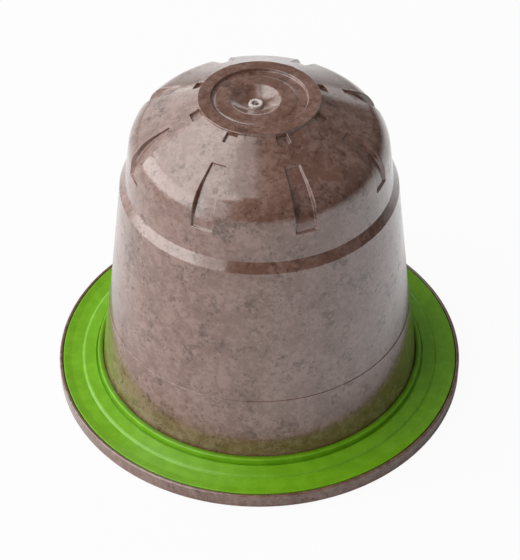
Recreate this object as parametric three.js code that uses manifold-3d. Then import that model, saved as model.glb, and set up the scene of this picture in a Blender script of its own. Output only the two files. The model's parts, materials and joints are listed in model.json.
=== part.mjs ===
// Single-serve coffee pod, standing on its sealed lid with the crown up.
// Millimetres, +Z up, origin at the centre of the underside.
import * as THREE from 'three';
import { mergeVertices } from 'three/addons/utils/BufferGeometryUtils.js';
import Module from 'manifold-3d';

const wasm = await Module();
wasm.setup();

// Overall size
const FLANGE_RADIUS = 18.5;
const TOTAL_HEIGHT = 30;

// Flange, with a thin lip that keeps the seal ring in
const FLANGE_WIDTH = 3.9;
const FLANGE_THICKNESS = 0.7;
const LIP_RISE = 0.68;
const LIP_WIDTH = 0.28;
const RIM_ROUND = 0.14;

// Cup wall, in two drafts that meet at a fine parting step
const LOWER_DRAFT = 7.9;
const UPPER_DRAFT = 6.7;
const PARTING_HEIGHT = 7.94;
const PARTING_STEP = 0.06;

// Shoulder ledge and dome above it
const DOME_HEIGHT = 8.95;
const LEDGE_RISE = 0.87;
const LEDGE_WIDTH = 0.48;
const SKIRT_DRAFT = 7.3;
const CROWN_SLOPE = 27.6;
const CROWN_ROUND = 3.3;

// Top disc: outer land and the groove inside it
const DISC_RADIUS = 5.13;
const DISC_WALL = 0.22;
const LAND_WIDTH = 1.07;
const GROOVE_DEPTH = 0.26;

// Gate boss in the groove, a little off the axis: plateau, dimple and nub
const GATE_OFFSET = 0.3;
const PLATEAU_RADIUS = 3.4;
const PLATEAU_RISE = 0.12;
const PLATEAU_ROUND = 0.1;
const DIMPLE_RADIUS = 2.1;
const DIMPLE_DEPTH = 0.9;
const NUB_RADIUS = 0.6;
const NUB_HEIGHT = 0.36;
const NUB_BORE = 0.36;
const NUB_BORE_DEPTH = 0.14;
const GATE_ROOT = 0.6;

// Recessed panels round the crown, and the notches at the foot of the disc
const PANEL_COUNT = 8;
const PANEL_ANGLE = 10;
const PANEL_DEPTH = 0.38;
const PANEL_TOP_RADIUS = 7.8;
const PANEL_FOOT_DROP = 5.7;
const NOTCH_ANGLE = 10.5;
const NOTCH_LENGTH = 0.97;
const NOTCH_DEPTH = 0.3;

// Seal ring lying on the flange between the cup wall and the lip
const SEAL_CLEARANCE = 0.2;
const SEAL_THICKNESS = 0.46;
const SEAL_EDGE_RISE = 0.16;
const SEAL_EDGE_WIDTH = 0.5;
const SEAL_LAND_WIDTH = 1.3;
const SEAL_CREASE = 0.07;
const SEAL_GROOVE_RISE = 0.47;
const SEAL_BEAD_WIDTH = 0.46;
const SEAL_BEAD_RISE = 0.36;

// Lid membrane, let into the underside so that its face is level with the rim
const LID_THICKNESS = 0.25;
const LID_CLEARANCE = 0.3;
const LID_BORDER = 0.95;

// Facets: whole turns, and the points of the rounded stretches
const TURN_SEGMENTS = 72;
const ROUND_STEPS = 8;
const SMALL_ROUND_STEPS = 3;
const OUTSIDE_REACH = 1;

const radians = THREE.MathUtils.degToRad;
const point = (r, z) => new THREE.Vector2(r, z);

// Values that follow from the sizes above
const footRadius = FLANGE_RADIUS - FLANGE_WIDTH;
const lipTop = FLANGE_THICKNESS + LIP_RISE;
const lipInnerRadius = FLANGE_RADIUS - LIP_WIDTH;
const ledgeHeight = TOTAL_HEIGHT - DOME_HEIGHT;
const discEdgeHeight = TOTAL_HEIGHT - DISC_WALL;
const grooveHeight = TOTAL_HEIGHT - GROOVE_DEPTH;

// Radius of the cup wall at a height below the ledge
function wallRadius(height) {
  const below = Math.min(height, PARTING_HEIGHT) - FLANGE_THICKNESS;
  const above = Math.max(height - PARTING_HEIGHT, 0);
  const lower = footRadius - below * Math.tan(radians(LOWER_DRAFT));
  return lower - above * Math.tan(radians(UPPER_DRAFT));
}

// Points of a round arc from one angle to another, in degrees
function arc(center, radius, from, to, steps) {
  return Array.from({ length: steps + 1 }, (_, i) => {
    const angle = radians(from + ((to - from) * i) / steps);
    return point(center.x + radius * Math.cos(angle), center.y + radius * Math.sin(angle));
  });
}

// Dome section: the skirt and the crown line meet in a corner that is rounded
const skirtFoot = point(
  wallRadius(ledgeHeight) - PARTING_STEP - LEDGE_WIDTH,
  ledgeHeight + LEDGE_RISE,
);

function domeCorner() {
  const skirtRun = Math.tan(radians(SKIRT_DRAFT));
  const crownRise = Math.tan(radians(CROWN_SLOPE));
  const drop = discEdgeHeight - skirtFoot.y - (skirtFoot.x - DISC_RADIUS) * crownRise;
  const height = skirtFoot.y + drop / (1 - skirtRun * crownRise);
  return point(skirtFoot.x - (height - skirtFoot.y) * skirtRun, height);
}

const skirtNormal = point(1, 0).rotateAround(point(0, 0), radians(SKIRT_DRAFT));
const crownNormal = point(1, 0).rotateAround(point(0, 0), radians(90 - CROWN_SLOPE));
const corner = domeCorner();
const halfTurn = radians((90 - CROWN_SLOPE - SKIRT_DRAFT) / 2);
const skirtLength = corner.distanceTo(skirtFoot);
const crownRound = Math.min(CROWN_ROUND, (0.9 * skirtLength) / Math.tan(halfTurn));
const roundBack = crownRound / Math.cos(halfTurn);
const roundMiddle = skirtNormal.clone().add(crownNormal).normalize();
const roundCenter = corner.clone().addScaledVector(roundMiddle, -roundBack);

// Point of the crown line at a radius, and of the skirt line at a height
const onCrown = (r) => point(r, discEdgeHeight - (r - DISC_RADIUS) * Math.tan(radians(CROWN_SLOPE)));
const onSkirt = (z) => point(skirtFoot.x - (z - skirtFoot.y) * Math.tan(radians(SKIRT_DRAFT)), z);

// Rounded stretch between skirt and crown, moved inwards by a depth
function crownArc(depth) {
  return arc(roundCenter, crownRound - depth, SKIRT_DRAFT, 90 - CROWN_SLOPE, ROUND_STEPS);
}

// Top disc from its edge to the axis: land and groove
function discOutline() {
  const landRadius = DISC_RADIUS - LAND_WIDTH;
  return [
    point(DISC_RADIUS, TOTAL_HEIGHT),
    point(landRadius, TOTAL_HEIGHT),
    point(landRadius, grooveHeight),
    point(0, grooveHeight),
  ];
}

// Gate boss from its root up over the plateau, down the dimple and up the nub
function gateOutline(rootHeight) {
  const top = grooveHeight + PLATEAU_RISE;
  const bowl = (DIMPLE_RADIUS ** 2 + DIMPLE_DEPTH ** 2) / (2 * DIMPLE_DEPTH);
  const bowlCenter = point(0, top - DIMPLE_DEPTH + bowl);
  const rimAngle = THREE.MathUtils.radToDeg(Math.asin(DIMPLE_RADIUS / bowl));
  const nubAngle = THREE.MathUtils.radToDeg(Math.asin(NUB_RADIUS / bowl));
  const bowlArc = arc(bowlCenter, bowl, rimAngle - 90, nubAngle - 90, ROUND_STEPS);
  const nubTop = bowlArc[bowlArc.length - 1].y + NUB_HEIGHT;
  const edgeCenter = point(PLATEAU_RADIUS - PLATEAU_ROUND, top - PLATEAU_ROUND);
  return [
    point(0, rootHeight),
    point(PLATEAU_RADIUS, rootHeight),
    ...arc(edgeCenter, PLATEAU_ROUND, 0, 90, SMALL_ROUND_STEPS),
    ...bowlArc,
    point(NUB_RADIUS, nubTop),
    point(NUB_BORE, nubTop),
    point(NUB_BORE, nubTop - NUB_BORE_DEPTH),
    point(0, nubTop - NUB_BORE_DEPTH),
  ];
}

// Flange from the axis outwards: lid recess, rim, lip and seat of the seal ring
function flangeOutline() {
  const recessRadius = FLANGE_RADIUS - LID_BORDER + LID_CLEARANCE;
  const rimCenter = point(FLANGE_RADIUS - RIM_ROUND, RIM_ROUND);
  const lipCenter = point(FLANGE_RADIUS - RIM_ROUND, lipTop - RIM_ROUND);
  return [
    point(0, LID_THICKNESS),
    point(recessRadius, LID_THICKNESS),
    point(recessRadius, 0),
    ...arc(rimCenter, RIM_ROUND, -90, 0, SMALL_ROUND_STEPS),
    ...arc(lipCenter, RIM_ROUND, 0, 90, SMALL_ROUND_STEPS),
    point(lipInnerRadius, lipTop),
    point(lipInnerRadius, FLANGE_THICKNESS),
  ];
}

// Cup wall from the flange up to the foot of the dome
function wallOutline() {
  return [
    point(footRadius, FLANGE_THICKNESS),
    point(wallRadius(PARTING_HEIGHT), PARTING_HEIGHT),
    point(wallRadius(PARTING_HEIGHT) - PARTING_STEP, PARTING_HEIGHT),
    point(wallRadius(ledgeHeight) - PARTING_STEP, ledgeHeight),
    skirtFoot,
  ];
}

// Closed geometry with shared corners and without the flat triangles at the axis
function welded(geometry) {
  geometry.deleteAttribute('normal');
  geometry.deleteAttribute('uv');
  const merged = mergeVertices(geometry, 1e-5);
  const corners = merged.index.array;
  const kept = [];
  for (let i = 0; i < corners.length; i += 3) {
    const [a, b, c] = corners.subarray(i, i + 3);
    if (a !== b && b !== c && c !== a) kept.push(a, b, c);
  }
  merged.setIndex(kept);
  return merged;
}

// Revolved outline about +Z; angle zero lies at the front, on -Y
function revolved(outline) {
  return welded(new THREE.LatheGeometry(outline, TURN_SEGMENTS).rotateX(Math.PI / 2));
}

// Revolved ring: its outline closes on itself
const revolvedRing = (outline) => revolved([...outline, outline[0].clone()]);

// Solid for cutting and joining, and the geometry back from it
function solid(geometry) {
  return new wasm.Manifold(new wasm.Mesh({
    numProp: 3,
    vertProperties: new Float32Array(geometry.attributes.position.array),
    triVerts: new Uint32Array(geometry.index.array),
  }));
}

function geometryOf(body) {
  const mesh = body.getMesh();
  const geometry = new THREE.BufferGeometry();
  geometry.setAttribute('position', new THREE.BufferAttribute(mesh.vertProperties, mesh.numProp));
  geometry.setIndex(new THREE.BufferAttribute(mesh.triVerts, 1));
  return geometry;
}

// One upright wedge with radial sides, as wide as an angle, facing a direction
function wedge(angle, direction) {
  const inner = DISC_RADIUS / 2;
  const half = radians(angle / 2);
  const corners = [[inner, -half], [FLANGE_RADIUS, -half], [FLANGE_RADIUS, half], [inner, half]];
  const shape = new THREE.Shape(corners.map(([r, turn]) => point(r * Math.cos(turn), r * Math.sin(turn))));
  const prism = new THREE.ExtrudeGeometry(shape, {
    depth: TOTAL_HEIGHT + OUTSIDE_REACH,
    bevelEnabled: false,
  });
  return solid(welded(prism.rotateZ(radians(direction - 90))));
}

// Cutter of a ring section, kept only inside the eight evenly spaced wedges
function patternCutter(outline, angle) {
  const ring = solid(revolvedRing(outline));
  const pitch = 360 / PANEL_COUNT;
  const cutters = Array.from({ length: PANEL_COUNT }, (_, i) => {
    return ring.intersect(wedge(angle, (i + 0.5) * pitch));
  });
  return cutters.reduce((all, one) => all.add(one));
}

// Panel section: its floor runs parallel to the crown, the fillet and the skirt
function panelOutline() {
  const top = onCrown(PANEL_TOP_RADIUS);
  const foot = onSkirt(TOTAL_HEIGHT - PANEL_FOOT_DROP);
  return [
    foot.clone().addScaledVector(skirtNormal, -PANEL_DEPTH),
    foot.clone().addScaledVector(skirtNormal, OUTSIDE_REACH),
    ...crownArc(-OUTSIDE_REACH),
    top.clone().addScaledVector(crownNormal, OUTSIDE_REACH),
    top.clone().addScaledVector(crownNormal, -PANEL_DEPTH),
    ...crownArc(PANEL_DEPTH).reverse(),
  ];
}

// Notch section: the wall of the disc runs on down behind it
function notchOutline() {
  const outer = onCrown(DISC_RADIUS + NOTCH_LENGTH);
  const inner = onCrown(DISC_RADIUS);
  return [
    point(inner.x, inner.y - NOTCH_DEPTH),
    point(outer.x, outer.y - NOTCH_DEPTH),
    point(outer.x, TOTAL_HEIGHT + OUTSIDE_REACH),
    point(inner.x, TOTAL_HEIGHT + OUTSIDE_REACH),
  ];
}

// Cup body with the gate boss let into its top disc
function withGateBoss(body) {
  const rootHeight = grooveHeight - DIMPLE_DEPTH - GATE_ROOT;
  const well = revolved([
    point(0, rootHeight),
    point(DIMPLE_RADIUS, rootHeight),
    point(DIMPLE_RADIUS, TOTAL_HEIGHT + OUTSIDE_REACH),
    point(0, TOTAL_HEIGHT + OUTSIDE_REACH),
  ]);
  const boss = revolved(gateOutline(rootHeight - GATE_ROOT));
  well.translate(-GATE_OFFSET, 0, 0);
  boss.translate(-GATE_OFFSET, 0, 0);
  return body.subtract(solid(well)).add(solid(boss));
}

// Cup with its sealed contents: one moulding that nothing shows into
function cupGeometry() {
  const outline = [
    ...flangeOutline(),
    ...wallOutline(),
    ...crownArc(0),
    point(DISC_RADIUS, discEdgeHeight),
    ...discOutline(),
  ];
  const body = withGateBoss(solid(revolved(outline)));
  const panels = patternCutter(panelOutline(), PANEL_ANGLE);
  const notches = patternCutter(notchOutline(), NOTCH_ANGLE);
  return geometryOf(body.subtract(panels).subtract(notches));
}

// Seal ring: upturned edge, flat land, crease, rising floor, groove and bead
function sealGeometry() {
  const outer = lipInnerRadius - SEAL_CLEARANCE;
  const land = FLANGE_THICKNESS + SEAL_THICKNESS;
  const landRadius = outer - SEAL_EDGE_WIDTH;
  const creaseRadius = landRadius - SEAL_LAND_WIDTH;
  const groove = land + SEAL_CREASE + SEAL_GROOVE_RISE;
  const beadTop = groove + SEAL_BEAD_RISE;
  const beadRound = SEAL_BEAD_WIDTH / 2;
  const beadRadius = wallRadius(beadTop) + SEAL_CLEARANCE + beadRound;
  const bead = arc(point(beadRadius, beadTop - beadRound), beadRound, 0, 180, 2 * SMALL_ROUND_STEPS);
  const edgeRound = (SEAL_EDGE_WIDTH ** 2 + SEAL_EDGE_RISE ** 2) / (2 * SEAL_EDGE_RISE);
  const edgeTurn = THREE.MathUtils.radToDeg(Math.asin(SEAL_EDGE_WIDTH / edgeRound));
  const edge = arc(point(landRadius, land + edgeRound), edgeRound, edgeTurn - 90, -90, SMALL_ROUND_STEPS);
  return revolvedRing([
    point(footRadius + SEAL_CLEARANCE, FLANGE_THICKNESS),
    point(outer, FLANGE_THICKNESS),
    ...edge,
    point(creaseRadius, land),
    point(creaseRadius - SEAL_CREASE, land + SEAL_CREASE),
    point(beadRadius + beadRound, groove),
    ...bead,
  ]);
}

// Lid membrane: a thin disc against the roof of its recess
function lidGeometry() {
  const radius = FLANGE_RADIUS - LID_BORDER;
  return revolved([
    point(0, 0),
    point(radius, 0),
    point(radius, LID_THICKNESS),
    point(0, LID_THICKNESS),
  ]);
}

// Named piece with its own finish
function piece(name, geometry, color, roughness) {
  geometry.computeVertexNormals();
  const material = new THREE.MeshStandardMaterial({ color, roughness, metalness: 0, flatShading: true });
  const mesh = new THREE.Mesh(geometry, material);
  mesh.name = name;
  return mesh;
}

const pod = new THREE.Group();
pod.name = 'coffee_pod';
pod.add(
  piece('cup', cupGeometry(), 0x7a5f56, 0.38),
  piece('seal_ring', sealGeometry(), 0x6fa726, 0.42),
  piece('lid_membrane', lidGeometry(), 0xd9d2c3, 0.7),
);

export default pod;
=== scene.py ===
"""Coffee pod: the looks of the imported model, in metres and in its own frame."""

import json
import logging
import math
from collections.abc import Callable
from dataclasses import dataclass, field, replace
from enum import Enum

import bpy
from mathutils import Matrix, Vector

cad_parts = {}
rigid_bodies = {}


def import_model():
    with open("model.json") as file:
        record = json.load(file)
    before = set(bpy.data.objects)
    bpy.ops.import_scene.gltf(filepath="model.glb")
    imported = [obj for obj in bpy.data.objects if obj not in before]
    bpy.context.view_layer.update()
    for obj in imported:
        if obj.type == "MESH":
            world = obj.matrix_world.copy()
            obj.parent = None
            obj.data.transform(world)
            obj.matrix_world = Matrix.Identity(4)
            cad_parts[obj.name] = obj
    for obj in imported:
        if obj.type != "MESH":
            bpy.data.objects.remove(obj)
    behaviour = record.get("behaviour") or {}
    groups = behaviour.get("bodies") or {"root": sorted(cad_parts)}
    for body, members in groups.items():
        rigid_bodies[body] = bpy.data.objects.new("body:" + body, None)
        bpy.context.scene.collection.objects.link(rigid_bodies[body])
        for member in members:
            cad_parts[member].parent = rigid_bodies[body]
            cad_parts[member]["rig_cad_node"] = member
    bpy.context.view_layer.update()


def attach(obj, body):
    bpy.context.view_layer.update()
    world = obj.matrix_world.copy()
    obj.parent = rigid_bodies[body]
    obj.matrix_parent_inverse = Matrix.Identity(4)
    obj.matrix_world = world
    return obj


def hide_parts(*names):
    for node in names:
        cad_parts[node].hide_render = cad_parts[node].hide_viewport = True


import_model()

log = logging.getLogger("coffee_pod")

MM = 0.001
BODY = "root"
FULL_TURN = 2.0 * math.pi

# Half the angle between two stretches from which they count as one straight line.
NEARLY_STRAIGHT = math.pi / 2.0 - 0.002

# Share of a stretch that the guard point at one of its ends may take up.
GUARD_SHARE = 0.48

# Points nearer to the axis than this, in mm, are one point on it.
ON_AXIS = 1e-6

# Neighbouring points of an outline that lie closer together than this, in mm, are merged.
LEAST_GAP = 0.004

# Runs that differ by less than this, in mm, are the same point of an outline.
SAME_RUN = 1e-4

# Step at which an outline is searched, in mm.
SEARCH_STEP = 0.01

# Lines of the mesh across a recess's wall, in half widths of the wall from its middle.
WALL_LINES = (-1.5, -1.0, -0.6, -0.2, 0.2, 0.6, 1.0, 1.5)

# Numbers that a recess pattern's node tree takes in: angles in radians, depth in metres, runs in mm.
PATTERN_INPUTS = ("Count", "Half Angle", "Wall Angle", "Depth", "Start", "End", "Start Wall", "End Wall")

# Attributes of a revolved mesh that only the recess patterns read.
PATTERN_ATTRIBUTES = ("run", "sink")


class Slot(Enum):
    """Material slots of the record, one for each finish."""

    CUP = "cup_plastic"
    SEAL = "seal_green"
    LID = "lid_paper"


@dataclass(frozen=True)
class Corner:
    """Corner of an outline, rounded where its round is above zero.

    Args:
        radius: distance from the axis, in mm.
        height: height above the floor, in mm.
        round: radius of the rounding, in mm.
        steps: how many segments the rounding has.
    """

    radius: float
    height: float
    round: float = 0.0
    steps: int = 4


@dataclass(frozen=True)
class Station:
    """Point of an outline with what the recesses need there, in mm.

    Args:
        radius: distance from the axis.
        height: height above the floor.
        run: length of the outline up to this point.
        sink: direction in which a recess goes in, as radial and upward parts.
        shift: sideways offset of this ring of points along X.
    """

    radius: float
    height: float
    run: float
    sink: tuple[float, float]
    shift: float = 0.0


@dataclass(frozen=True)
class Grain:
    """Noise of a finish.

    Args:
        per_mm: waves per millimetre.
        detail: number of finer layers.
        roughness: strength of the finer layers.
        distortion: how far the pattern is pulled about.
        offset: shift of the pattern, in mm, so that the noises of a finish differ.
    """

    per_mm: float
    detail: float = 2.0
    roughness: float = 0.5
    distortion: float = 0.0
    offset: tuple[float, float, float] = (0.0, 0.0, 0.0)


def spoke_turned(spoke: Vector, angle: float) -> Vector:
    """Turns a spoke clockwise, the sense in which Blender signs an angle between two vectors.

    Args:
        spoke: vector from the middle of an arc to a point on it.
        angle: the angle in radians.

    Returns:
        The turned spoke.
    """
    across, along = math.sin(angle), math.cos(angle)
    return Vector((spoke.x * along + spoke.y * across, spoke.y * along - spoke.x * across))


def rounded_outline(corners: list[Corner], guard: float) -> list[tuple[float, float]]:
    """Replaces each rounded corner by an arc with a guard point on either side.

    Args:
        corners: the outline's corners in order.
        guard: distance of the guard points from the arc's ends, in mm.

    Returns:
        The outline's points as radius and height.
    """
    points: list[tuple[float, float]] = []
    for i, corner in enumerate(corners):
        here = Vector((corner.radius, corner.height))
        if corner.round <= 0.0 or i in (0, len(corners) - 1):
            points.append((here.x, here.y))
            continue
        back = Vector((corners[i - 1].radius, corners[i - 1].height)) - here
        on = Vector((corners[i + 1].radius, corners[i + 1].height)) - here
        before, after = back.normalized(), on.normalized()
        half = before.angle(after) / 2.0
        if half > NEARLY_STRAIGHT:
            points.append((here.x, here.y))
            continue
        tangent = corner.round / math.tan(half)
        lead = max(tangent, min(tangent + guard, back.length * GUARD_SHARE))
        trail = max(tangent, min(tangent + guard, on.length * GUARD_SHARE))
        middle = here + (before + after).normalized() * (corner.round / math.sin(half))
        spoke = here + before * tangent - middle
        turn = spoke.angle_signed(here + after * tangent - middle)
        points.append(tuple(here + before * lead))
        for step in range(corner.steps + 1):
            points.append(tuple(middle + spoke_turned(spoke, turn * step / corner.steps)))
        points.append(tuple(here + after * trail))
    return points


def without_close_points(points: list[tuple[float, float]]) -> list[tuple[float, float]]:
    """Drops each point that lies too close to the one before; the ends stay.

    Args:
        points: the outline's points as radius and height.

    Returns:
        The points that are left.
    """
    kept = [points[0]]
    for point in points[1:-1]:
        if math.dist(point, kept[-1]) >= LEAST_GAP:
            kept.append(point)
    kept.append(points[-1])
    return kept


def subdivided(points: list[tuple[float, float]], longest: float) -> list[tuple[float, float]]:
    """Splits each stretch that is longer than a limit into equal parts.

    Args:
        points: the outline's points as radius and height.
        longest: the limit, in mm.

    Returns:
        The points with the new ones between them.
    """
    result = [points[0]]
    for (r0, z0), (r1, z1) in zip(points, points[1:]):
        count = max(1, math.ceil(math.dist((r0, z0), (r1, z1)) / longest))
        for k in range(1, count + 1):
            result.append((r0 + (r1 - r0) * k / count, z0 + (z1 - z0) * k / count))
    return result


def stations_of(points: list[tuple[float, float]]) -> list[Station]:
    """Measures the run along an outline and the inward direction at each point.

    Args:
        points: the outline's points as radius and height.

    Returns:
        One station for each point.
    """
    stations = []
    run = 0.0
    last = len(points) - 1
    for i, (r, z) in enumerate(points):
        if i:
            run += math.dist(points[i - 1], points[i])
        r0, z0 = points[max(i - 1, 0)]
        r1, z1 = points[min(i + 1, last)]
        length = math.hypot(r1 - r0, z1 - z0) or 1.0
        stations.append(Station(r, z, run, (-(z1 - z0) / length, (r1 - r0) / length)))
    return stations


def revolved_mesh(name: str, stations: list[Station], angles: list[float], closed: bool) -> bpy.types.Mesh:
    """Revolves an outline about the upright axis into one closed mesh.

    Args:
        name: name of the mesh.
        stations: the outline, either from axis to axis or closed on itself.
        angles: the angles of the columns in radians, rising through one turn.
        closed: whether the outline closes on itself.

    Returns:
        The mesh in metres, with the attributes run and sink on its points.
    """
    verts: list[tuple[float, float, float]] = []
    runs: list[float] = []
    sinks: list[float] = []
    rings: list[list[int]] = []
    for s in stations:
        columns = [0.0] if s.radius < ON_AXIS else angles
        first = len(verts)
        for a in columns:
            across, ahead = math.sin(a), -math.cos(a)
            verts.append(((s.radius * across + s.shift) * MM, s.radius * ahead * MM, s.height * MM))
            runs.append(s.run)
            sinks.extend((s.sink[0] * across, s.sink[0] * ahead, s.sink[1]))
        rings.append(list(range(first, len(verts))))
    faces: list[tuple[int, ...]] = []
    pairs = list(zip(rings, rings[1:])) + ([(rings[-1], rings[0])] if closed else [])
    count = len(angles)
    for low, high in pairs:
        for j in range(count):
            k = (j + 1) % count
            if len(low) == 1:
                faces.append((low[0], high[k], high[j]))
            elif len(high) == 1:
                faces.append((low[j], low[k], high[0]))
            else:
                faces.append((low[j], low[k], high[k], high[j]))
    mesh = bpy.data.meshes.new(name)
    mesh.from_pydata(verts, [], faces)
    mesh.attributes.new("run", "FLOAT", "POINT").data.foreach_set("value", runs)
    mesh.attributes.new("sink", "FLOAT_VECTOR", "POINT").data.foreach_set("vector", sinks)
    mesh.shade_smooth()
    mesh.update()
    return mesh


def even_angles(count: int) -> list[float]:
    """Angles of evenly spaced columns through one turn.

    Args:
        count: how many columns there are.

    Returns:
        The angles in radians.
    """
    return [FULL_TURN * i / count for i in range(count)]


class Graph:
    """Node tree in the making, with short calls for the nodes that are used often."""

    def __init__(self, tree: bpy.types.NodeTree) -> None:
        """Starts with a node tree.

        Args:
            tree: the tree that the nodes go into.
        """
        self.tree = tree

    def node(self, kind: str, **settings: object) -> bpy.types.Node:
        """Adds a node.

        Args:
            kind: Blender's identifier of the node type.
            settings: properties to set on it.

        Returns:
            The new node.
        """
        made = self.tree.nodes.new(kind)
        for key, value in settings.items():
            setattr(made, key, value)
        return made

    def feed(self, socket: bpy.types.NodeSocket, value: object) -> None:
        """Links a socket into an input, or sets the input to a plain value.

        Args:
            socket: the input.
            value: the socket or the plain value.
        """
        if isinstance(value, bpy.types.NodeSocket):
            self.tree.links.new(value, socket)
        else:
            socket.default_value = value

    def math(self, operation: str, *values: object, clamp: bool = False) -> bpy.types.NodeSocket:
        """Adds a Math node.

        Args:
            operation: the operation's identifier.
            values: sockets or numbers for its inputs.
            clamp: whether the result is kept between 0 and 1.

        Returns:
            The result's socket.
        """
        made = self.node("ShaderNodeMath", operation=operation, use_clamp=clamp)
        for socket, value in zip(made.inputs, values):
            self.feed(socket, value)
        return made.outputs[0]

    def step(self, value: object, low: object, high: object) -> bpy.types.NodeSocket:
        """Smooth step from 0 at one limit to 1 at the other.

        Args:
            value: what is compared.
            low: where the result is 0.
            high: where the result is 1.

        Returns:
            The result's socket.
        """
        made = self.node("ShaderNodeMapRange", interpolation_type="SMOOTHSTEP")
        for socket, given in zip(made.inputs, (value, low, high, 0.0, 1.0)):
            self.feed(socket, given)
        return made.outputs[0]

    def mix(self, factor: object, first: object, second: object, blend: str = "MIX") -> bpy.types.NodeSocket:
        """Mixes two colours.

        Args:
            factor: socket or number from 0 to 1.
            first: the colour at 0.
            second: the colour at 1.
            blend: blend type.

        Returns:
            The mixed colour's socket.
        """
        made = self.node("ShaderNodeMix", data_type="RGBA", blend_type=blend)
        self.feed(made.inputs[0], factor)
        self.feed(made.inputs[6], first)
        self.feed(made.inputs[7], second)
        return made.outputs[2]

    def millimetres(self, offset: tuple[float, float, float] = (0.0, 0.0, 0.0)) -> bpy.types.NodeSocket:
        """Adds object coordinates in millimetres.

        Args:
            offset: what is added to them, in mm.

        Returns:
            The coordinates' socket.
        """
        place = self.node("ShaderNodeTexCoord")
        mapping = self.node("ShaderNodeMapping")
        self.feed(mapping.inputs["Vector"], place.outputs["Object"])
        mapping.inputs["Location"].default_value = offset
        mapping.inputs["Scale"].default_value = (1.0 / MM,) * 3
        return mapping.outputs["Vector"]

    def noise(self, grain: Grain) -> bpy.types.NodeSocket:
        """Adds a noise in object coordinates.

        Args:
            grain: its settings.

        Returns:
            The noise value's socket.
        """
        made = self.node("ShaderNodeTexNoise")
        self.feed(made.inputs["Vector"], self.millimetres(grain.offset))
        made.inputs["Scale"].default_value = grain.per_mm
        made.inputs["Detail"].default_value = grain.detail
        made.inputs["Roughness"].default_value = grain.roughness
        made.inputs["Distortion"].default_value = grain.distortion
        return made.outputs["Fac"]

    def bump(self, height: object, depth_mm: float, under: object = None) -> bpy.types.NodeSocket:
        """Bumps of a given depth in millimetres, as a normal socket.

        Args:
            height: pattern from 0 to 1.
            depth_mm: depth of the pattern.
            under: another bump's normal to build on.

        Returns:
            The normal's socket.
        """
        made = self.node("ShaderNodeBump")
        made.inputs["Distance"].default_value = depth_mm * MM
        self.feed(made.inputs["Height"], height)
        if under is not None:
            self.feed(made.inputs["Normal"], under)
        return made.outputs["Normal"]


def shader_graph(name: str) -> tuple[bpy.types.Material, Graph, bpy.types.Node]:
    """Starts a material.

    Args:
        name: name of the material.

    Returns:
        The material, its graph and its surface shader node.
    """
    material = bpy.data.materials.new(name)
    material.use_nodes = True
    shader = material.node_tree.nodes["Principled BSDF"]
    return material, Graph(material.node_tree), shader


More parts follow.
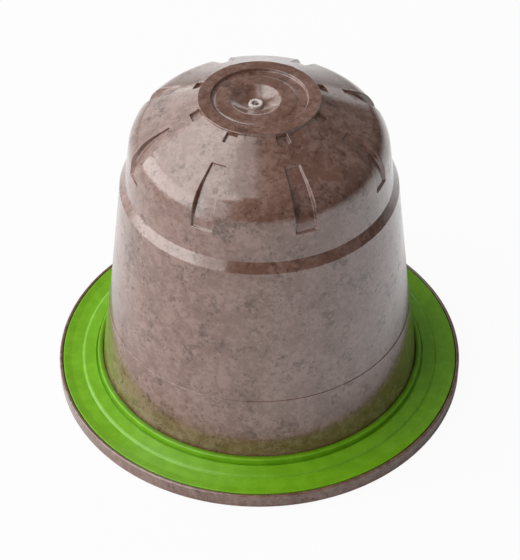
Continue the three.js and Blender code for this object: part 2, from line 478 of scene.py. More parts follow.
@dataclass(frozen=True)
class FibrePlastic:
    """Moulded plastic filled with plant fibre: brown, mottled, flecked and semi-glossy.

    A pair named edges holds the noise values between which a pattern goes from none to full.
    Lengths are in mm. The nub highlight is a painted highlight: a pale ring on the nub's top rim.
    """

    name: str = "fibre_plastic"
    brown: tuple[float, float, float, float] = (0.162, 0.070, 0.043, 1.0)
    light: tuple[float, float, float, float] = (0.248, 0.138, 0.106, 1.0)
    dark: tuple[float, float, float, float] = (0.050, 0.018, 0.009, 1.0)
    # Pale colour of the painted highlight on the nub's top rim.
    nub_highlight: tuple[float, float, float, float] = (0.78, 0.72, 0.69, 1.0)
    cloud: Grain = Grain(0.35)
    cloud_share: float = 0.35
    mottle: Grain = Grain(1.5, 5.0, 0.68)
    tone_edges: tuple[float, float] = (0.42, 0.60)
    crowd: Grain = Grain(0.45, 3.0, offset=(5.0, 8.0, 1.0))
    crowd_share: float = 0.35
    speck: Grain = Grain(3.2, 4.0, 0.66, offset=(2.0, 9.0, 4.0))
    speck_edges: tuple[float, float] = (0.58, 0.66)
    smudge: Grain = Grain(0.95, 6.0, 0.78, offset=(3.0, 6.0, 8.0))
    smudge_edges: tuple[float, float] = (0.55, 0.67)
    blot_share: float = 0.7
    fibre: Grain = Grain(1.5, 1.0, 0.5, 0.9)
    fibre_edges: tuple[float, float] = (0.030, 0.008)
    stretch: Grain = Grain(1.3, offset=(7.0, 3.0, 5.0))
    stretch_edges: tuple[float, float] = (0.58, 0.66)
    fibre_share: float = 0.6
    fleck_depth: float = 0.003
    skin: Grain = Grain(3.2, 3.0)
    skin_depth: float = 0.012
    # Place and size of the painted highlight ring on the nub's top rim.
    nub_highlight_centre: float = -0.3
    nub_highlight_radius: float = 0.62
    nub_highlight_bore: float = 0.3
    nub_highlight_blur: float = 0.05
    nub_highlight_height: float = 28.6
    nub_highlight_share: float = 0.8
    roughness: float = 0.17
    roughness_change: float = 0.12
    ior: float = 1.8
    coat: float = 0.75
    coat_ior: float = 1.6
    coat_roughness: float = 0.13

    def flecks(self, g: Graph) -> bpy.types.NodeSocket:
        """Dark flecks of plant fibre: specks, smudges and thin lines.

        Args:
            g: the material's graph.

        Returns:
            The socket of their share of the colour, from 0 to 1.
        """
        crowd = g.math("MULTIPLY", g.math("SUBTRACT", g.noise(self.crowd), 0.5), self.crowd_share)
        specks = g.step(g.math("ADD", g.noise(self.speck), crowd), *self.speck_edges)
        smudges = g.step(g.math("ADD", g.noise(self.smudge), crowd), *self.smudge_edges)
        from_line = g.math("ABSOLUTE", g.math("SUBTRACT", g.noise(self.fibre), 0.5))
        stretches = g.step(g.noise(self.stretch), *self.stretch_edges)
        fibres = g.math("MULTIPLY", g.step(from_line, *self.fibre_edges), stretches)
        blots = g.math("MULTIPLY", g.math("MAXIMUM", specks, smudges), self.blot_share)
        return g.math("MAXIMUM", g.math("MULTIPLY", fibres, self.fibre_share), blots, clamp=True)

    def painted_nub_highlight(self, g: Graph) -> bpy.types.NodeSocket:
        """Painted highlight: a pale ring on the nub's top rim.

        Args:
            g: the material's graph.

        Returns:
            The socket of its share of the colour, from 0 to 1.
        """
        at = g.node("ShaderNodeSeparateXYZ")
        g.feed(at.inputs[0], g.millimetres())
        across, ahead, height = at.outputs
        aside = g.math("SUBTRACT", across, self.nub_highlight_centre)
        squares = g.math("ADD", g.math("MULTIPLY", aside, aside), g.math("MULTIPLY", ahead, ahead))
        out = g.math("SQRT", squares)
        within = g.step(out, self.nub_highlight_radius + self.nub_highlight_blur, self.nub_highlight_radius - self.nub_highlight_blur)
        beyond = g.step(out, self.nub_highlight_bore - self.nub_highlight_blur, self.nub_highlight_bore + self.nub_highlight_blur)
        on_top = g.math("GREATER_THAN", height, self.nub_highlight_height)
        ring = g.math("MULTIPLY", g.math("MULTIPLY", within, beyond), on_top)
        return g.math("MULTIPLY", ring, self.nub_highlight_share)

    def material(self) -> bpy.types.Material:
        """Builds the material and returns it."""
        material, g, shader = shader_graph(self.name)
        mottle = g.noise(self.mottle)
        tone = g.math(
            "ADD",
            g.math("MULTIPLY", g.noise(self.cloud), self.cloud_share),
            g.math("MULTIPLY", mottle, 1.0 - self.cloud_share),
        )
        base = g.mix(g.step(tone, *self.tone_edges), self.brown, self.light)
        flecks = self.flecks(g)
        flecked = g.mix(flecks, base, self.dark)
        # The base colour carries a painted highlight, a pale ring on the nub's top rim.
        g.feed(shader.inputs["Base Color"], g.mix(self.painted_nub_highlight(g), flecked, self.nub_highlight))
        change = g.math("MULTIPLY", g.math("SUBTRACT", mottle, 0.5), self.roughness_change)
        g.feed(shader.inputs["Roughness"], g.math("ADD", change, self.roughness))
        shader.inputs["IOR"].default_value = self.ior
        uncoated = g.math("MULTIPLY", flecks, self.coat)
        g.feed(shader.inputs["Coat Weight"], g.math("SUBTRACT", self.coat, uncoated))
        shader.inputs["Coat IOR"].default_value = self.coat_ior
        shader.inputs["Coat Roughness"].default_value = self.coat_roughness
        skin = g.bump(g.noise(self.skin), self.skin_depth)
        between_flecks = g.math("SUBTRACT", 1.0, flecks)
        g.feed(shader.inputs["Normal"], g.bump(between_flecks, self.fleck_depth, skin))
        return material


@dataclass(frozen=True)
class SealRubber:
    """Soft leaf-green seal, semi-glossy, with a fine grain. Lengths in mm."""

    name: str = "seal_rubber"
    green: tuple[float, float, float, float] = (0.186, 0.452, 0.013, 1.0)
    deep: tuple[float, float, float, float] = (0.155, 0.390, 0.007, 1.0)
    tone: Grain = Grain(0.8, 4.0, 0.6)
    tone_edges: tuple[float, float] = (0.38, 0.66)
    grain: Grain = Grain(6.0)
    grain_depth: float = 0.004
    roughness: float = 0.19
    roughness_rise: float = 0.12
    ior: float = 1.5

    def material(self) -> bpy.types.Material:
        """Builds the material and returns it."""
        material, g, shader = shader_graph(self.name)
        tone = g.step(g.noise(self.tone), *self.tone_edges)
        g.feed(shader.inputs["Base Color"], g.mix(tone, self.deep, self.green))
        grain = g.noise(self.grain)
        rise = g.math("MULTIPLY", grain, self.roughness_rise)
        g.feed(shader.inputs["Roughness"], g.math("ADD", rise, self.roughness))
        shader.inputs["IOR"].default_value = self.ior
        g.feed(shader.inputs["Normal"], g.bump(grain, self.grain_depth))
        return material


@dataclass(frozen=True)
class LidPaper:
    """Pale matt paper membrane with fine fibres and clouds. Lengths in mm."""

    name: str = "lid_paper"
    paper: tuple[float, float, float, float] = (0.66, 0.58, 0.46, 1.0)
    fibre: tuple[float, float, float, float] = (0.50, 0.41, 0.30, 1.0)
    line: Grain = Grain(1.1, 2.0, 0.5, 1.2)
    line_edges: tuple[float, float] = (0.02, 0.004)
    stretch: Grain = Grain(0.9, offset=(4.0, 1.0, 0.0))
    stretch_edges: tuple[float, float] = (0.50, 0.62)
    cloud: Grain = Grain(0.5, 5.0, 0.65)
    cloud_edges: tuple[float, float] = (0.35, 0.70)
    cloud_share: float = 0.35
    skin: Grain = Grain(4.0, 4.0, 0.6)
    skin_depth: float = 0.010
    roughness: float = 0.62

    def material(self) -> bpy.types.Material:
        """Builds the material and returns it."""
        material, g, shader = shader_graph(self.name)
        from_line = g.math("ABSOLUTE", g.math("SUBTRACT", g.noise(self.line), 0.5))
        stretches = g.step(g.noise(self.stretch), *self.stretch_edges)
        fibres = g.math("MULTIPLY", g.step(from_line, *self.line_edges), stretches)
        cloud = g.math("MULTIPLY", g.step(g.noise(self.cloud), *self.cloud_edges), self.cloud_share)
        g.feed(shader.inputs["Base Color"], g.mix(g.math("MAXIMUM", fibres, cloud), self.paper, self.fibre))
        shader.inputs["Roughness"].default_value = self.roughness
        g.feed(shader.inputs["Normal"], g.bump(g.noise(self.skin), self.skin_depth))
        return material


@dataclass
class RecessPattern:
    """Recess that repeats round the axis, sunk into a revolved mesh by Geometry Nodes.

    Args:
        name: name of the node tree.
        count: how many recesses there are in one turn.
        width: angle that one recess takes up, in degrees.
        depth: how deep it is, in mm.
        start: run of the outline at which it starts, in mm.
        end: run at which it ends, in mm.
        wall_angle: half the angle that a side wall takes up, in degrees.
        start_wall: half the run that the wall at the start takes up, in mm.
        end_wall: half the run that the wall at the end takes up, in mm.
    """

    name: str
    count: int
    width: float
    depth: float
    start: float
    end: float
    wall_angle: float
    start_wall: float
    end_wall: float

    def tree(self) -> bpy.types.GeometryNodeTree:
        """Builds the node tree and returns it."""
        tree = bpy.data.node_groups.new(self.name, "GeometryNodeTree")
        face = tree.interface
        face.new_socket("Geometry", in_out="INPUT", socket_type="NodeSocketGeometry")
        for label in PATTERN_INPUTS:
            face.new_socket(label, in_out="INPUT", socket_type="NodeSocketFloat")
        face.new_socket("Finish", in_out="INPUT", socket_type="NodeSocketMaterial")
        face.new_socket("Geometry", in_out="OUTPUT", socket_type="NodeSocketGeometry")
        g = Graph(tree)
        given = g.node("NodeGroupInput").outputs
        split = g.node("ShaderNodeSeparateXYZ")
        g.feed(split.inputs[0], g.node("GeometryNodeInputPosition").outputs[0])
        turn = g.math("ARCTAN2", split.outputs[0], g.math("MULTIPLY", split.outputs[1], -1.0))
        pitches = g.math("DIVIDE", g.math("MULTIPLY", turn, given["Count"]), FULL_TURN)
        off_centre = g.math("ABSOLUTE", g.math("SUBTRACT", g.math("FRACT", pitches), 0.5))
        away = g.math("DIVIDE", g.math("MULTIPLY", off_centre, FULL_TURN), given["Count"])
        inside = g.step(
            away,
            g.math("ADD", given["Half Angle"], given["Wall Angle"]),
            g.math("SUBTRACT", given["Half Angle"], given["Wall Angle"]),
        )
        run_node = g.node("GeometryNodeInputNamedAttribute", data_type="FLOAT")
        run_node.inputs[0].default_value = "run"
        run = run_node.outputs[0]
        past_start = g.step(
            run,
            g.math("SUBTRACT", given["Start"], given["Start Wall"]),
            g.math("ADD", given["Start"], given["Start Wall"]),
        )
        before_end = g.step(
            run,
            g.math("ADD", given["End"], given["End Wall"]),
            g.math("SUBTRACT", given["End"], given["End Wall"]),
        )
        share = g.math("MULTIPLY", g.math("MULTIPLY", inside, past_start), before_end)
        sink_node = g.node("GeometryNodeInputNamedAttribute", data_type="FLOAT_VECTOR")
        sink_node.inputs[0].default_value = "sink"
        scaled = g.node("ShaderNodeVectorMath", operation="SCALE")
        g.feed(scaled.inputs[0], sink_node.outputs[0])
        g.feed(scaled.inputs["Scale"], g.math("MULTIPLY", share, given["Depth"]))
        moved = g.node("GeometryNodeSetPosition")
        g.feed(moved.inputs["Geometry"], given["Geometry"])
        g.feed(moved.inputs["Offset"], scaled.outputs[0])
        real = g.node("GeometryNodeRealizeInstances")
        g.feed(real.inputs[0], moved.outputs[0])
        dressed = g.node("GeometryNodeSetMaterial")
        g.feed(dressed.inputs["Geometry"], real.outputs[0])
        g.feed(dressed.inputs["Material"], given["Finish"])
        g.feed(g.node("NodeGroupOutput").inputs[0], dressed.outputs[0])
        return tree

    def apply_to(self, piece: bpy.types.Object, finish: bpy.types.Material) -> bpy.types.Modifier:
        """Adds the pattern to a piece as a modifier.

        Args:
            piece: the revolved piece.
            finish: the material that the tree sets.

        Returns:
            The new modifier.
        """
        modifier = piece.modifiers.new(self.name, "NODES")
        modifier.node_group = self.tree()
        values = {
            "Count": float(self.count),
            "Half Angle": math.radians(self.width / 2.0),
            "Wall Angle": math.radians(self.wall_angle),
            "Depth": self.depth * MM,
            "Start": self.start,
            "End": self.end,
            "Start Wall": self.start_wall,
            "End Wall": self.end_wall,
            "Finish": finish,
        }
        for item in modifier.node_group.interface.items_tree:
            if item.in_out == "INPUT" and item.name in values:
                modifier[item.identifier] = values[item.name]
        return modifier

    def columns(self) -> list[float]:
        """Angles of the columns that its side walls need, in degrees from its centre."""
        half = self.width / 2.0
        return [side * (half + line * self.wall_angle) for side in (-1, 1) for line in WALL_LINES]

    def rows(self) -> list[float]:
        """Runs of the rows that its end walls need, in mm."""
        first = [self.start + line * self.start_wall for line in WALL_LINES]
        last = [self.end + line * self.end_wall for line in WALL_LINES]
        return first + last


def drop_pattern_attributes(mesh: bpy.types.Mesh) -> None:
    """Removes the attributes that only the recess patterns read.

    Args:
        mesh: a revolved mesh.
    """
    for name in PATTERN_ATTRIBUTES:
        if name in mesh.attributes:
            mesh.attributes.remove(mesh.attributes[name])


def piece_of(mesh: bpy.types.Mesh) -> bpy.types.Object:
    """Adds an object with a mesh to the scene, under the mesh's name.

    Args:
        mesh: the piece's mesh.

    Returns:
        The new object.
    """
    piece = bpy.data.objects.new(mesh.name, mesh)
    bpy.context.scene.collection.objects.link(piece)
    return piece


def as_plain_mesh(piece: bpy.types.Object) -> None:
    """Turns a piece's modifiers into its mesh and removes them.

    Args:
        piece: the piece with its modifiers.
    """
    depsgraph = bpy.context.evaluated_depsgraph_get()
    evaluated = piece.evaluated_get(depsgraph)
    made = bpy.data.meshes.new_from_object(evaluated, preserve_all_data_layers=True, depsgraph=depsgraph)
    piece.modifiers.clear()
    piece.data = made
    made.name = piece.name
    drop_pattern_attributes(made)
    made.shade_smooth()


def with_points_at(points: list[tuple[float, float]], runs: list[float]) -> list[tuple[float, float]]:
    """Adds points to an outline at given runs along it.

    Args:
        points: the outline.
        runs: the runs at which a point is wanted, in mm.

    Returns:
        The outline with the points added in their places.
    """
    wanted = sorted(runs)
    result = [points[0]]
    run = 0.0
    for start, end in zip(points, points[1:]):
        length = math.dist(start, end)
        for at in [w for w in wanted if run + SAME_RUN < w < run + length - SAME_RUN]:
            part = (at - run) / length
            result.append((start[0] + (end[0] - start[0]) * part, start[1] + (end[1] - start[1]) * part))
        result.append(end)
        run += length
    return result


def run_at(points: list[tuple[float, float]], reached: Callable[[float, float], bool]) -> float:
    """Finds where a test first holds along an outline.

    Args:
        points: the outline's points as radius and height.
        reached: the test, given a radius and a height in mm.

    Returns:
        The run up to there, in mm, or the whole length where the test never holds.
    """
    run = 0.0
    for (r0, z0), (r1, z1) in zip(points, points[1:]):
        length = math.dist((r0, z0), (r1, z1))
        steps = max(1, int(length / SEARCH_STEP))
        for k in range(1, steps + 1):
            if reached(r0 + (r1 - r0) * k / steps, z0 + (z1 - z0) * k / steps):
                return run + length * k / steps
        run += length
    return run


@dataclass
class Cup:
    """Moulded cup: flange, drafted wall, ledge, panelled crown and stepped top disc.

    Lengths are in mm, angles in degrees and heights above the plane that the pod stands on.
    A field that ends in round is the rounding of the corner that it names, and one that ends
    in lean is the sideways distance between the foot and the top of a short wall.
    """

    flange_radius: float = 18.5
    rim_round: float = 0.16
    lip_top: float = 1.38
    lip_round: float = 0.12
    lip_inner: float = 18.22
    lip_inner_round: float = 0.08
    seat: float = 0.7
    seat_round: float = 0.05
    lid_recess: float = 17.85
    lid_recess_top: float = 0.25
    lid_recess_round: float = 0.04
    lid_recess_edge_round: float = 0.06
    foot_radius: float = 14.6
    foot_round: float = 0.1
    lower_draft: float = 7.9
    upper_draft: float = 6.7
    parting_height: float = 7.94
    parting_step: float = 0.06
    parting_round: float = 0.046
    parting_inner_round: float = 0.006
    ledge_height: float = 21.05
    ledge_rise: float = 0.84
    ledge_width: float = 0.52
    ledge_round: float = 0.05
    skirt_draft: float = 7.3
    skirt_round: float = 0.06
    crown_slope: float = 27.6
    crown_round: float = 3.3
    height: float = 30.0
    disc_radius: float = 5.13
    disc_wall: float = 0.22
    disc_foot_round: float = 0.03
    disc_edge_round: float = 0.05
    land_radius: float = 4.06
    groove_depth: float = 0.26
    groove_lean: float = 0.05
    gate_offset: float = -0.3
    gate_from: float = 0.15
    gate_to: float = 0.12
    plateau_radius: float = 3.4
    plateau_rise: float = 0.05
    plateau_lean: float = 0.07
    plateau_foot_round: float = 0.04
    plateau_ramp: float = 0.2
    dimple_radius: float = 2.1
    dimple_depth: float = 0.64
    dimple_edge: float = 0.22
    dimple_edge_round: float = 0.3
    dimple_rows: int = 14
    nub_radius: float = 0.6
    nub_section: tuple[Corner, ...] = (
        Corner(0.63, 0.0, 0.05),
        Corner(0.58, 0.22, 0.07, 5),
        Corner(0.34, 0.22, 0.06, 5),
        Corner(0.31, 0.06, 0.05),
        Corner(0.20, 0.06, 0.04, 3),
        Corner(0.14, 0.16, 0.06),
        Corner(0.0, 0.19),
    )
    panel_count: int = 8
    panel_width: float = 9.2
    panel_depth: float = 0.17
    panel_round: float = 5.3
    panel_top_radius: float = 7.7
    panel_foot_height: float = 24.3
    panel_side_wall: float = 0.46
    panel_end_wall: float = 0.06
    notch_width: float = 9.9
    notch_depth: float = 0.3
    notch_end_radius: float = 5.92
    notch_rise: float = 0.06
    notch_side_wall: float = 0.6
    notch_start_wall: float = 0.055
    notch_end_wall: float = 0.02
    notch_clearance: float = 0.6
    guard: float = 0.03
    centre_guard: float = 0.01
    longest: float = 0.8
    pitch_columns: int = 18
    column_clearance: float = 0.9
    least_column: float = 0.03
    finish: FibrePlastic = field(default_factory=FibrePlastic)

    def wall_radius(self, height: float) -> float:
        """Radius of the drafted wall at a height.

        Args:
            height: the height, in mm.

        Returns:
            The radius in mm.
        """
        below = min(height, self.parting_height) - self.seat
        above = max(height - self.parting_height, 0.0)
        lower = self.foot_radius - below * math.tan(math.radians(self.lower_draft))
        return lower - above * math.tan(math.radians(self.upper_draft))

    def skirt_foot(self) -> tuple[float, float]:
        """Radius and height at which the skirt starts, at the top of the ledge, in mm."""
        ledge = self.wall_radius(self.ledge_height) - self.parting_step
        return ledge - self.ledge_width, self.ledge_height + self.ledge_rise

    def dome_corner(self) -> tuple[float, float]:
        """Radius and height at which the skirt's line meets the crown's line, in mm."""
        foot_radius, foot_height = self.skirt_foot()
        run = math.tan(math.radians(self.skirt_draft))
        rise = math.tan(math.radians(self.crown_slope))
        top = self.height - self.disc_wall
        drop = top - foot_height - (foot_radius - self.disc_radius) * rise
        height = foot_height + drop / (1.0 - run * rise)
        return foot_radius - (height - foot_height) * run, height

    def panel_floor(self, radius: float, height: float) -> float:
        """Depth of a panel under a point of the crown.

        The panel's floor follows the skirt and the crown at an even depth and turns from one
        to the other in a wider round than the outside does, so it is deepest on the shoulder.

        Args:
            radius: the point's radius, in mm.
            height: the point's height, in mm.

        Returns:
            The depth in mm.
        """
        slope, draft = math.radians(self.crown_slope), math.radians(self.skirt_draft)
        crown = Vector((-math.cos(slope), math.sin(slope)))
        skirt = Vector((math.sin(draft), -math.cos(draft)))
        reach = (self.panel_depth + self.panel_round) / math.sin(crown.angle(skirt) / 2.0)
        centre = Vector(self.dome_corner()) + (crown + skirt).normalized() * reach
        spoke = Vector((radius, height)) - centre
        lifted = math.atan2(spoke.y, spoke.x)
        if not draft < lifted < math.pi / 2.0 - slope:
            return self.panel_depth
        return spoke.length - self.panel_round

    def outer_corners(self) -> list[Corner]:
        """Corners of the outline from the lid's recess round the flange and up to the plateau.

        The last corner isn't built. It gives the direction in which the outline goes on.
        """
        parting = self.wall_radius(self.parting_height)
        ledge = self.wall_radius(self.ledge_height) - self.parting_step
        disc_foot = self.height - self.disc_wall
        groove = self.height - self.groove_depth
        plateau = groove + self.plateau_rise
        return [
            Corner(0.0, self.lid_recess_top),
            Corner(self.lid_recess, self.lid_recess_top, self.lid_recess_round),
            Corner(self.lid_recess, 0.0, self.lid_recess_edge_round),
            Corner(self.flange_radius, 0.0, self.rim_round, 5),
            Corner(self.flange_radius, self.lip_top, self.lip_round, 5),
            Corner(self.lip_inner, self.lip_top, self.lip_inner_round),
            Corner(self.lip_inner, self.seat, self.seat_round),
            Corner(self.foot_radius, self.seat, self.foot_round),
            Corner(parting, self.parting_height, self.parting_round, 6),
            Corner(parting - self.parting_step, self.parting_height, self.parting_inner_round, 2),
            Corner(ledge, self.ledge_height, self.ledge_round, 5),
            Corner(*self.skirt_foot(), self.skirt_round, 5),
            Corner(*self.dome_corner(), self.crown_round, 26),
            Corner(self.disc_radius, disc_foot, self.disc_foot_round, 3),
            Corner(self.disc_radius, self.height, self.disc_edge_round),
            Corner(self.land_radius, self.height, self.disc_edge_round),
            Corner(self.land_radius - self.groove_lean, groove, self.disc_edge_round),
            Corner(self.plateau_radius + self.plateau_lean, groove, self.plateau_foot_round, 3),
            Corner(self.plateau_radius, plateau),
        ]

    def centre_points(self) -> list[tuple[float, float]]:
        """Points of the outline from the plateau down the dimple and over the nub to the axis."""
        top = self.height - self.groove_depth + self.plateau_rise
        corners = [
            Corner(self.plateau_radius - self.plateau_ramp, top),
            Corner(self.dimple_radius + self.dimple_edge, top, self.dimple_edge_round, 5),
        ]
        bowl = (self.dimple_radius**2 + self.dimple_depth**2) / (2.0 * self.dimple_depth)
        middle = top - self.dimple_depth + bowl
        widest = math.asin(self.dimple_radius / bowl)
        least = math.asin(self.nub_radius / bowl)
        for k in range(self.dimple_rows):
            a = widest + (least - widest) * k / self.dimple_rows
            corners.append(Corner(bowl * math.sin(a), middle - bowl * math.cos(a)))
        nub_foot = middle - bowl * math.cos(least)
        corners += [replace(corner, height=nub_foot + corner.height) for corner in self.nub_section]
        return rounded_outline(corners, self.centre_guard)

    def patterns(self, outline: list[tuple[float, float]]) -> list[RecessPattern]:
        """Panels and notches, placed by the runs of the outline that they lie on.

        Args:
            outline: the outline's points as radius and height.

        Returns:
            The patterns.
        """
        foot = self.panel_foot_height
        notch_top = self.height - self.disc_wall + self.notch_rise
        panels = RecessPattern(
            name="crown_panels",
            count=self.panel_count,
            width=self.panel_width,
            depth=self.panel_depth,
            start=run_at(outline, lambda r, z: z > foot),
            end=run_at(outline, lambda r, z: z > foot and r < self.panel_top_radius),
            wall_angle=self.panel_side_wall,
            start_wall=self.panel_end_wall,
            end_wall=self.panel_end_wall,
        )
        notches = RecessPattern(
            name="disc_notches",
            count=self.panel_count,
            width=self.notch_width,
            depth=self.notch_depth,
            start=run_at(outline, lambda r, z: z > foot and r < self.notch_end_radius),
            end=run_at(outline, lambda r, z: z > notch_top),
            wall_angle=self.notch_side_wall,
            start_wall=self.notch_start_wall,
            end_wall=self.notch_end_wall,
        )
        return [panels, notches]

    def column_angles(self, patterns: list[RecessPattern]) -> list[float]:
        """Columns of the mesh: fine at the recesses' side walls, even between them.

        Args:
            patterns: the recesses.

        Returns:
            The angles in radians, rising through one turn.
        """
        pitch = 360.0 / self.panel_count
        fine = sorted(c for p in patterns for c in p.columns())
        plain = [pitch * k / self.pitch_columns - pitch / 2.0 for k in range(self.pitch_columns)]
        plain = [c for c in plain if min(abs(c - f) for f in fine) > self.column_clearance]
        local = sorted(fine + plain)
        kept = [local[0]]
        for c in local[1:]:
            if c - kept[-1] > self.least_column:
                kept.append(c)
        return [math.radians((i + 0.5) * pitch + c) for i in range(self.panel_count) for c in kept]

    def stations(self, points: list[tuple[float, float]]) -> list[Station]:
        """Outline's stations, with notches sunk straight down and the plateau moved aside.

        Args:
            points: the outline's points as radius and height.

        Returns:
            One station for each point.
        """
        near_disc = self.notch_end_radius + self.notch_clearance
        shift_from = self.land_radius - self.gate_from
        shift_to = self.plateau_radius + self.gate_to
        made = []
        for s in stations_of(points):
            if s.height < self.panel_foot_height:
                made.append(s)
                continue
            deeper = self.panel_floor(s.radius, s.height) / self.panel_depth
            sink = (0.0, -1.0) if s.radius < near_disc else (s.sink[0] * deeper, s.sink[1] * deeper)
            share = min(1.0, max(0.0, (shift_from - s.radius) / (shift_from - shift_to)))
            made.append(replace(s, sink=sink, shift=self.gate_offset * share))
        return made

    def build(self) -> bpy.types.Object:
        """Builds the cup as one mesh and returns its object."""
        outer = rounded_outline(self.outer_corners(), self.guard)
        points = outer[:-1] + self.centre_points()
        points = without_close_points(subdivided(points, self.longest))
        patterns = self.patterns(points)
        points = with_points_at(points, [r for p in patterns for r in p.rows()])
        angles = self.column_angles(patterns)
        piece = piece_of(revolved_mesh("cup_moulding", self.stations(points), angles, False))
        finish = self.finish.material()
        for pattern in patterns:
            pattern.apply_to(piece, finish)
        as_plain_mesh(piece)
        return piece


@dataclass
class SealRing:
    """Soft ring on the flange: upturned edge, land, raised crease, rising floor, groove and bead.

    Lengths are in mm. The names follow those of the cup.
    """

    inner_foot: float = 14.66
    outer: float = 18.14
    seat: float = 0.7
    seat_round: float = 0.04
    edge_top: float = 1.38
    edge_rim: float = 0.13
    edge_round: float = 0.0624
    valley_radius: float = 17.4
    valley: float = 1.29
    valley_round: float = 1.0
    crease_radius: float = 16.38
    crease: float = 1.31
    crease_foot_round: float = 0.02
    crease_rise: float = 0.17
    crease_width: float = 0.18
    crease_round: float = 0.3
    floor_end: float = 15.1
    floor_top: float = 1.58
    floor_round: float = 0.05
    groove_width: float = 0.18
    groove_depth: float = 0.16
    groove_outer_lean: float = 0.03
    groove_inner_lean: float = 0.02
    groove_round: float = 0.03
    bead_width: float = 0.46
    bead_top: float = 2.08
    bead_round: float = 0.1
    bead_inner_round: float = 0.07
    guard: float = 0.02
    longest: float = 0.4
    columns: int = 288
    finish: SealRubber = field(default_factory=SealRubber)

    def corners(self) -> list[Corner]:
        """Corners of the ring's closed section, from its inner foot outwards and back over its top."""
        rim = self.outer - self.edge_rim
        crease_end = self.crease_radius - self.crease_width
        bead_outer = self.floor_end - self.groove_width
        bead_inner = bead_outer - self.bead_width
        groove = self.floor_top - self.groove_depth
        return [
            Corner(self.inner_foot, self.seat),
            Corner(self.outer, self.seat, self.seat_round),
            Corner(self.outer, self.edge_top, self.edge_round, 6),
            Corner(rim, self.edge_top, self.edge_round, 6),
            Corner(self.valley_radius, self.valley, self.valley_round, 8),
            Corner(self.crease_radius, self.crease, self.crease_foot_round, 3),
            Corner(crease_end, self.crease + self.crease_rise, self.crease_round, 10),
            Corner(self.floor_end, self.floor_top, self.floor_round, 5),
            Corner(self.floor_end - self.groove_outer_lean, groove, self.groove_round, 3),
            Corner(bead_outer + self.groove_inner_lean, groove, self.groove_round, 3),
            Corner(bead_outer, self.bead_top, self.bead_round, 6),
            Corner(bead_inner, self.bead_top, self.bead_inner_round, 6),
        ]

    def build(self) -> bpy.types.Object:
        """Builds the ring as one mesh and returns its object."""
        points = rounded_outline(self.corners(), self.guard)
        points = without_close_points(subdivided(points, self.longest))
        angles = even_angles(self.columns)
        mesh = revolved_mesh("seal_ring_moulding", stations_of(points), angles, True)
        drop_pattern_attributes(mesh)
        mesh.materials.append(self.finish.material())
        return piece_of(mesh)


@dataclass
class LidMembrane:
    """Paper membrane under the pod, pressed flat at its sealing band and drawn up a little inside it.

    Lengths are in mm. The rows are those of the mesh in the middle, at the press and on the band.
    """

    radius: float = 17.78
    band: float = 3.0
    press_width: float = 0.35
    thickness: float = 0.1
    draw: float = 0.09
    middle_rows: int = 20
    press_rows: int = 5
    band_rows: int = 6
    columns: int = 216
    finish: LidPaper = field(default_factory=LidPaper)

    def points(self) -> list[tuple[float, float]]:
        """Section from the axis of the underside round the edge to the axis of the upper side."""
        inner = self.radius - self.band
        pressed = inner + self.press_width
        lower = [(inner * k / self.middle_rows, self.draw) for k in range(self.middle_rows)]
        for k in range(self.press_rows + 1):
            part = k / self.press_rows
            height = self.draw * (0.5 + 0.5 * math.cos(math.pi * part))
            lower.append((inner + self.press_width * part, height))
        for k in range(1, self.band_rows + 1):
            lower.append((pressed + (self.radius - pressed) * k / self.band_rows, 0.0))
        upper = [(r, z + self.thickness) for r, z in reversed(lower)]
        return lower + upper

    def build(self) -> bpy.types.Object:
        """Builds the membrane as one mesh and returns its object."""
        angles = even_angles(self.columns)
        mesh = revolved_mesh("lid_membrane_sheet", stations_of(self.points()), angles, False)
        drop_pattern_attributes(mesh)
        mesh.materials.append(self.finish.material())
        return piece_of(mesh)


@dataclass(frozen=True)
class Lamp:
    """Soft area lamp that faces the pod's axis. Lengths in metres.

    Args:
        name: name of the lamp.
        azimuth: bearing in degrees, 0 at the front and positive to the right.
        elevation: angle above the height that it faces, in degrees.
        distance: distance from the point that it faces.
        height: height of the point on the axis that it faces.
        size: width and height of its face.
        watts: its power.
    """

    name: str
    azimuth: float
    elevation: float
    distance: float
    height: float
    size: tuple[float, float]
    watts: float


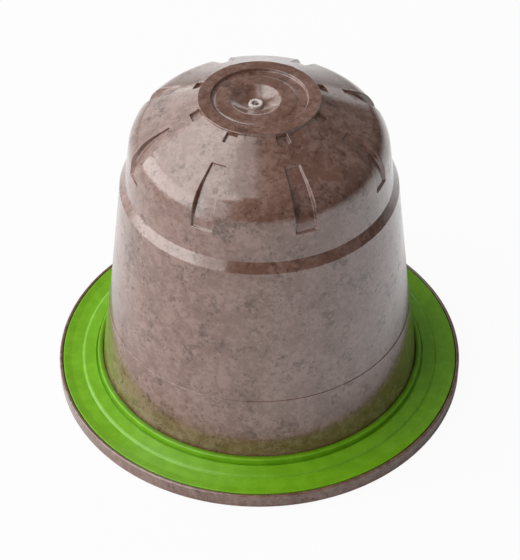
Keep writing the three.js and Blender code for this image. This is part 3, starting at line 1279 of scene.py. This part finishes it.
@dataclass
class Studio:
    """Camera, pale floor and soft light. Lengths in metres, angles in degrees.

    Within a belt round the pod, glossy rays see the floor partly as plain white. The belt sets
    in between the two distances of gloss_rise and ends between those of gloss_fall.
    """

    photo_width: int = 520
    photo_height: int = 560
    focal_pixels: float = 1850.0
    axis_column: float = 259.4
    sensor: float = 36.0
    distance: float = 0.1663
    elevation: float = 42.01
    azimuth: float = 2.4
    target_height: float = 0.00967
    clip_near: float = 0.01
    clip_far: float = 20.0
    floor_half: float = 2.5
    floor_gap: float = 0.00002
    floor_white: float = 0.72
    floor_shown_white: float = 0.94
    floor_gloss_white: float = 0.75
    gloss_rise: tuple[float, float] = (0.019, 0.027)
    gloss_fall: tuple[float, float] = (0.20, 0.10)
    horizon: float = 0.07
    zenith: float = 0.19
    zenith_from: float = 0.5
    lamps: tuple[Lamp, ...] = (
        Lamp("left_window", -79.0, 0.0, 0.6, 0.212, (0.81, 0.416), 2.95),
        Lamp("front_left_window", -34.0, 0.0, 0.6, 0.275, (0.24, 0.542), 0.62),
        Lamp("left_top", -86.0, 55.5, 0.6, 0.01, (0.78, 0.449), 2.4),
        Lamp("top_fade", -86.0, 82.0, 0.6, 0.01, (0.55, 0.13), 0.25),
        Lamp("back_left_window", -134.0, 0.0, 0.6, 0.2375, (0.534, 0.425), 0.72),
        Lamp("back_card", 180.0, 13.0, 0.6, 0.01, (0.55, 0.22), 0.3),
    )

    def place(self, azimuth: float, elevation: float, distance: float, height: float) -> Vector:
        """Point at a bearing from the pod's axis.

        Args:
            azimuth: bearing in degrees, 0 at the front and positive to the right.
            elevation: angle above the point that it is measured from, in degrees.
            distance: distance from that point.
            height: height of that point on the axis.

        Returns:
            The point.
        """
        a, e = math.radians(azimuth), math.radians(elevation)
        flat = distance * math.cos(e)
        return Vector((flat * math.sin(a), -flat * math.cos(a), height + distance * math.sin(e)))

    def aim(self, item: bpy.types.Object, height: float) -> None:
        """Turns a camera or lamp towards the pod's axis.

        Args:
            item: the camera or lamp.
            height: height of the point on the axis that it faces.
        """
        item.rotation_mode = "QUATERNION"
        item.rotation_quaternion = (Vector((0.0, 0.0, height)) - item.location).to_track_quat("-Z", "Y")

    def add_camera(self) -> None:
        """Adds the camera at the photograph's view."""
        data = bpy.data.cameras.new("camera")
        data.sensor_width = self.sensor
        longer_side = max(self.photo_width, self.photo_height)
        data.lens = self.focal_pixels * self.sensor / longer_side
        data.shift_x = (self.photo_width / 2.0 - self.axis_column) / longer_side
        data.clip_start = self.clip_near
        data.clip_end = self.clip_far
        camera = bpy.data.objects.new("camera", data)
        camera.location = self.place(self.azimuth, self.elevation, self.distance, self.target_height)
        self.aim(camera, self.target_height)
        bpy.context.scene.collection.objects.link(camera)
        bpy.context.scene.camera = camera

    def add_lamp(self, lamp: Lamp) -> None:
        """Adds a soft area lamp.

        Args:
            lamp: its settings.
        """
        data = bpy.data.lights.new(lamp.name, "AREA")
        data.shape = "RECTANGLE"
        data.size, data.size_y = lamp.size
        data.energy = lamp.watts
        item = bpy.data.objects.new(lamp.name, data)
        item.location = self.place(lamp.azimuth, lamp.elevation, lamp.distance, lamp.height)
        self.aim(item, lamp.height)
        bpy.context.scene.collection.objects.link(item)

    def add_floor(self) -> None:
        """Adds the pale floor, which the camera sees as white with a soft shadow."""
        half = self.floor_half
        corners = [(-half, -half, 0.0), (half, -half, 0.0), (half, half, 0.0), (-half, half, 0.0)]
        mesh = bpy.data.meshes.new("floor")
        mesh.from_pydata(corners, [], [(0, 1, 2, 3)])
        material = bpy.data.materials.new("floor_white")
        material.use_nodes = True
        g = Graph(material.node_tree)
        material.node_tree.nodes.clear()
        matt = g.node("ShaderNodeBsdfDiffuse")
        matt.inputs["Color"].default_value = (self.floor_white,) * 3 + (1.0,)
        glow = g.node("ShaderNodeEmission")
        seen = g.node("ShaderNodeLightPath")
        mixed = g.node("ShaderNodeMixShader")
        shown = g.math("MULTIPLY", seen.outputs["Is Camera Ray"], self.floor_shown_white)
        reach = g.node("ShaderNodeVectorMath", operation="LENGTH")
        g.feed(reach.inputs[0], g.node("ShaderNodeTexCoord").outputs["Object"])
        risen = g.step(reach.outputs["Value"], *self.gloss_rise)
        not_fallen = g.step(reach.outputs["Value"], *self.gloss_fall)
        belt = g.math("MULTIPLY", risen, not_fallen)
        gloss = g.math("MULTIPLY", seen.outputs["Is Glossy Ray"], self.floor_gloss_white)
        mirrored = g.math("MULTIPLY", gloss, belt)
        g.feed(mixed.inputs[0], g.math("MAXIMUM", shown, mirrored))
        g.feed(mixed.inputs[1], matt.outputs[0])
        g.feed(mixed.inputs[2], glow.outputs[0])
        g.feed(g.node("ShaderNodeOutputMaterial").inputs[0], mixed.outputs[0])
        mesh.materials.append(material)
        floor = bpy.data.objects.new("floor", mesh)
        floor.location.z = -self.floor_gap
        bpy.context.scene.collection.objects.link(floor)

    def add_world(self) -> None:
        """Adds a soft surrounding that is pale at the horizon and dimmer overhead."""
        world = bpy.data.worlds.new("studio")
        world.use_nodes = True
        bpy.context.scene.world = world
        g = Graph(world.node_tree)
        world.node_tree.nodes.clear()
        direction = g.node("ShaderNodeSeparateXYZ")
        g.feed(direction.inputs[0], g.node("ShaderNodeTexCoord").outputs["Generated"])
        up = g.step(direction.outputs[2], 0.0, self.zenith_from)
        level = g.math("ADD", self.horizon, g.math("MULTIPLY", up, self.zenith - self.horizon))
        seen = g.node("ShaderNodeLightPath").outputs["Is Camera Ray"]
        strength = g.math("ADD", seen, g.math("MULTIPLY", g.math("SUBTRACT", 1.0, seen), level))
        glow = g.node("ShaderNodeBackground")
        g.feed(glow.inputs["Strength"], strength)
        glow.inputs["Color"].default_value = (1.0, 1.0, 1.0, 1.0)
        g.feed(g.node("ShaderNodeOutputWorld").inputs[0], glow.outputs[0])

    def build(self) -> None:
        """Sets up the whole studio."""
        bpy.context.scene.view_settings.view_transform = "Standard"
        self.add_camera()
        self.add_floor()
        self.add_world()
        for lamp in self.lamps:
            self.add_lamp(lamp)


def clear_startup() -> None:
    """Removes the objects that a new file starts with."""
    for name in ("Cube", "Light", "Camera"):
        item = bpy.data.objects.get(name)
        if item is not None and "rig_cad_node" not in item:
            bpy.data.objects.remove(item)


def hand_over(piece: bpy.types.Object, node: str) -> None:
    """Lets a piece stand for its CAD node, on its body, and reports it.

    Args:
        piece: the finished piece.
        node: name of the CAD node.
    """
    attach(piece, BODY)
    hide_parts(node)
    log.info("%s stands for %s with %d faces", piece.name, node, len(piece.data.polygons))


def main() -> None:
    """Builds the studio and the pod, piece by piece."""
    logging.basicConfig(level=logging.INFO, format="%(name)s: %(message)s")
    clear_startup()
    Studio().build()
    hand_over(Cup().build(), "cup")
    hand_over(SealRing().build(), "seal_ring")
    hand_over(LidMembrane().build(), "lid_membrane")


if __name__ == "__main__":
    main()
